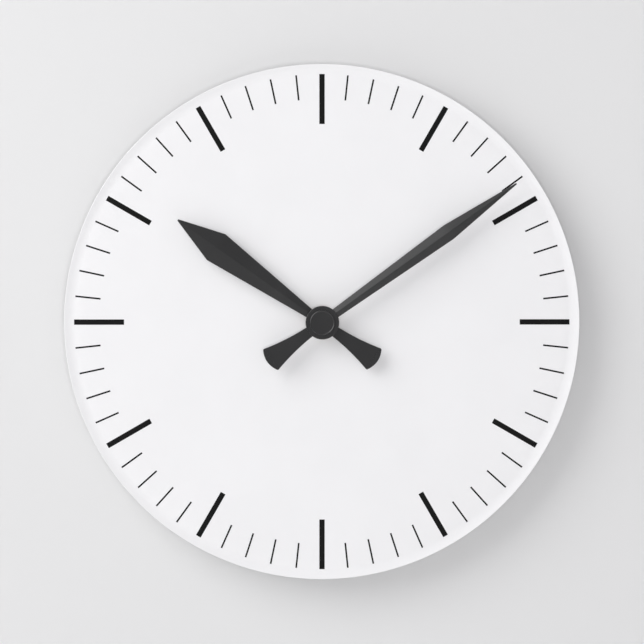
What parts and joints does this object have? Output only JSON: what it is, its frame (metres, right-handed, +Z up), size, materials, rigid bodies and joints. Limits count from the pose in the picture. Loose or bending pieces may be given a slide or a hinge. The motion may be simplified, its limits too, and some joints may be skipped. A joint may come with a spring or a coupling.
{
  "type": "wall clock",
  "caption": "Round frameless white wall clock with bar marks, faceted black hands and a battery quartz movement with working gears.",
  "frame": {"origin": "where the hand axis meets the wall, on the movement's rear face", "axes": "+Z up to 12 o'clock, +Y into the wall, +X to 3 o'clock; the dial faces -Y"},
  "size_m": [0.273, 0.0346, 0.273],
  "materials": {
    "white_acrylic": "gloss",
    "black_ink": "matt print",
    "grey_ink": "matt print",
    "hand_plastic": "satin",
    "black_rubber": "matt",
    "brass": "turned",
    "steel": "ground",
    "case_plastic": "fine spark texture",
    "bridge_plastic": "moulded natural",
    "gear_plastic": "moulded natural",
    "bobbin_plastic": "moulded natural",
    "copper": "enamelled wire",
    "board": "phenolic board",
    "resin": "glossy epoxy",
    "iron": "soft iron",
    "magnet": "sintered ferrite",
    "nickel": "nickel plate",
    "battery_label": "printed shrink sleeve"
  },
  "bodies": {
    "clock": {"dial_plate": "white_acrylic", "hour_marks": "black_ink", "minute_marks": "grey_ink", "rubber_gasket": "black_rubber", "centre_bush": "brass", "front_washer": "steel", "dial_nut": "brass", "front_case": "case_plastic", "rear_cover": "case_plastic", "train_bridge": "bridge_plastic", "bridge_screws": "steel", "hanger_plate": "nickel", "hanger_rivets": "steel", "circuit_board": "board", "chip_resin": "resin", "quartz_crystal": "nickel", "coil_bobbin": "bobbin_plastic", "coil_winding": "copper", "coil_core": "iron", "coil_pins": "nickel", "stator_plate": "iron", "positive_contact": "nickel", "negative_contact": "nickel"},
    "minute_work": {"minute_hand": "hand_plastic", "minute_collet": "brass", "hub_cap": "hand_plastic", "minute_arbor": "brass", "clutch_spring": "steel", "centre_wheel": "gear_plastic"},
    "hour_work": {"hour_hand": "hand_plastic", "hour_collet": "brass", "hour_wheel": "gear_plastic"},
    "motion_gear": {"motion_arbor": "steel", "motion_wheel": "gear_plastic"},
    "setting_gear": {"setting_arbor": "gear_plastic", "setting_knob": "case_plastic"},
    "third_gear": {"third_arbor": "steel", "third_wheel": "gear_plastic"},
    "seconds_gear": {"seconds_arbor": "steel", "seconds_wheel": "gear_plastic"},
    "intermediate_gear": {"intermediate_arbor": "steel", "intermediate_wheel": "gear_plastic"},
    "rotor": {"rotor_arbor": "steel", "rotor_pinion": "gear_plastic", "rotor_magnet": "magnet"},
    "battery": {"battery_can": "nickel", "battery_sleeve": "battery_label", "battery_seal": "black_rubber", "battery_negative": "nickel"}
  },
  "joints": [
    {"name": "minute_turn", "type": "hinge", "parent": "clock", "child": "minute_work", "pos_m": [0, 0, 0], "axis": [0, 1, 0], "continuous": true},
    {"name": "hour_turn", "type": "hinge", "parent": "clock", "child": "hour_work", "pos_m": [0, 0, 0], "axis": [0, 1, 0], "continuous": true},
    {"name": "motion_turn", "type": "hinge", "parent": "clock", "child": "motion_gear", "pos_m": [0.0096, 0, 0], "axis": [0, 1, 0], "continuous": true},
    {"name": "setting_turn", "type": "hinge", "parent": "clock", "child": "setting_gear", "pos_m": [0.01746, 0, 0.00551], "axis": [0, 1, 0], "continuous": true},
    {"name": "third_turn", "type": "hinge", "parent": "clock", "child": "third_gear", "pos_m": [-0.00936, 0, 0], "axis": [0, 1, 0], "continuous": true},
    {"name": "seconds_turn", "type": "hinge", "parent": "clock", "child": "seconds_gear", "pos_m": [0, 0, 0], "axis": [0, 1, 0], "continuous": true},
    {"name": "intermediate_turn", "type": "hinge", "parent": "clock", "child": "intermediate_gear", "pos_m": [-0.00204, 0, 0.00959], "axis": [0, 1, 0], "continuous": true},
    {"name": "rotor_turn", "type": "hinge", "parent": "clock", "child": "rotor", "pos_m": [0.00416, 0, 0.01184], "axis": [0, 1, 0], "continuous": true},
    {"name": "battery_slide", "type": "slide", "parent": "clock", "child": "battery", "axis": [0, 1, 0], "range_m": [0, 0.02]}
  ],
  "couplings": [
    {"joint": "hour_turn", "follows": "minute_turn", "ratio": 0.083333},
    {"joint": "motion_turn", "follows": "minute_turn", "ratio": -0.33333},
    {"joint": "setting_turn", "follows": "minute_turn", "ratio": 1},
    {"joint": "third_turn", "follows": "minute_turn", "ratio": -7.5},
    {"joint": "seconds_turn", "follows": "minute_turn", "ratio": 60},
    {"joint": "intermediate_turn", "follows": "minute_turn", "ratio": -360},
    {"joint": "rotor_turn", "follows": "minute_turn", "ratio": 1800}
  ]
}
